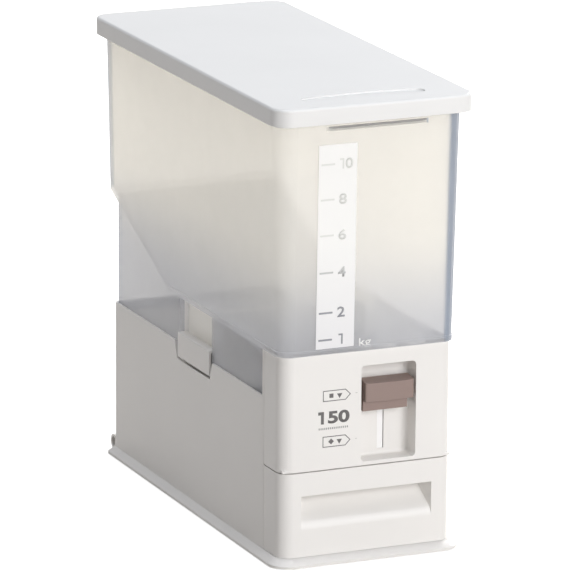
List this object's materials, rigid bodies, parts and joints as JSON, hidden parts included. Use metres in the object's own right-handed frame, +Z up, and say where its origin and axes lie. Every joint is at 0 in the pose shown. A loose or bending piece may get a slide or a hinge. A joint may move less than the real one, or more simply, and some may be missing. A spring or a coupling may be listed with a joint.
{
  "type": "rice dispenser with drawer",
  "caption": "Slim upright rice bin: translucent hopper with hinged lid over a white base with a push-down measuring lever and a pull-out drawer.",
  "frame": {"origin": "on the ground under the middle of the overall bounding box", "axes": "+Z up, -Y out of the front (drawer and lever side), +X to the right as seen from the front"},
  "size_m": [0.1958, 0.4472, 0.4278],
  "materials": {
    "casing_white": "satin moulded polypropylene, warm white",
    "inner_white": "moulded polypropylene, natural white",
    "lid_white": "satin moulded polypropylene, cool white",
    "frosted": "translucent polypropylene",
    "strip_white": "printed film",
    "lever_brown": "moulded ABS, taupe brown",
    "acetal": "acetal",
    "steel": "zinc-plated",
    "rubber": "soft grey"
  },
  "bodies": {
    "base": {"base_plate": "casing_white", "rubber_feet": "rubber", "base_screws": "steel", "casing": "casing_white", "latch_pin_right": "steel", "latch_pin_left": "steel", "front_panel": "casing_white", "panel_screws": "steel", "mechanism_deck": "inner_white", "chute": "inner_white", "housing_lower": "inner_white", "housing_upper": "inner_white", "housing_screws": "steel", "bearing_bracket": "inner_white", "shaft_bushes": "acetal", "slider_guide": "inner_white", "guide_screws": "steel", "hopper": "frosted", "flow_ridge": "inner_white", "scale_strip": "strip_white", "lid_hinge_pins": "steel"},
    "lid": {"lid": "lid_white"},
    "drawer": {"drawer_front": "casing_white", "drawer_tray": "inner_white", "drawer_screws": "steel"},
    "lever": {"lever_slider": "acetal", "lever_knob": "lever_brown"},
    "drum": {"drum_shell": "inner_white", "drum_cap": "inner_white", "drum_shaft": "steel", "pinion": "acetal"},
    "latch_right": {"latch_right": "casing_white"},
    "latch_left": {"latch_left": "casing_white"}
  },
  "joints": [
    {"name": "lid_hinge", "type": "hinge", "parent": "base", "child": "lid", "pos_m": [0, 0.21498, 0.415], "axis": [-1, 0, 0], "range_deg": [0, 100]},
    {"name": "drawer_slide", "type": "slide", "parent": "base", "child": "drawer", "axis": [0, -1, 0], "range_m": [0, 0.21]},
    {"name": "drum_turn", "type": "hinge", "parent": "base", "child": "drum", "pos_m": [0, -0.1658, 0.1422], "axis": [1, 0, 0], "range_deg": [0, 180]},
    {"name": "lever_slide", "type": "slide", "parent": "base", "child": "lever", "axis": [0, 0, -1], "range_m": [0, 0.04246]},
    {"name": "latch_right_turn", "type": "hinge", "parent": "base", "child": "latch_right", "pos_m": [0.0784, -0.0023, 0.1264], "axis": [0, 1, 0], "range_deg": [0, 18]},
    {"name": "latch_left_turn", "type": "hinge", "parent": "base", "child": "latch_left", "pos_m": [-0.0784, -0.0023, 0.1264], "axis": [0, -1, 0], "range_deg": [0, 18]}
  ],
  "couplings": [
    {"joint": "lever_slide", "follows": "drum_turn", "m_per_rad": 0.0135}
  ]
}
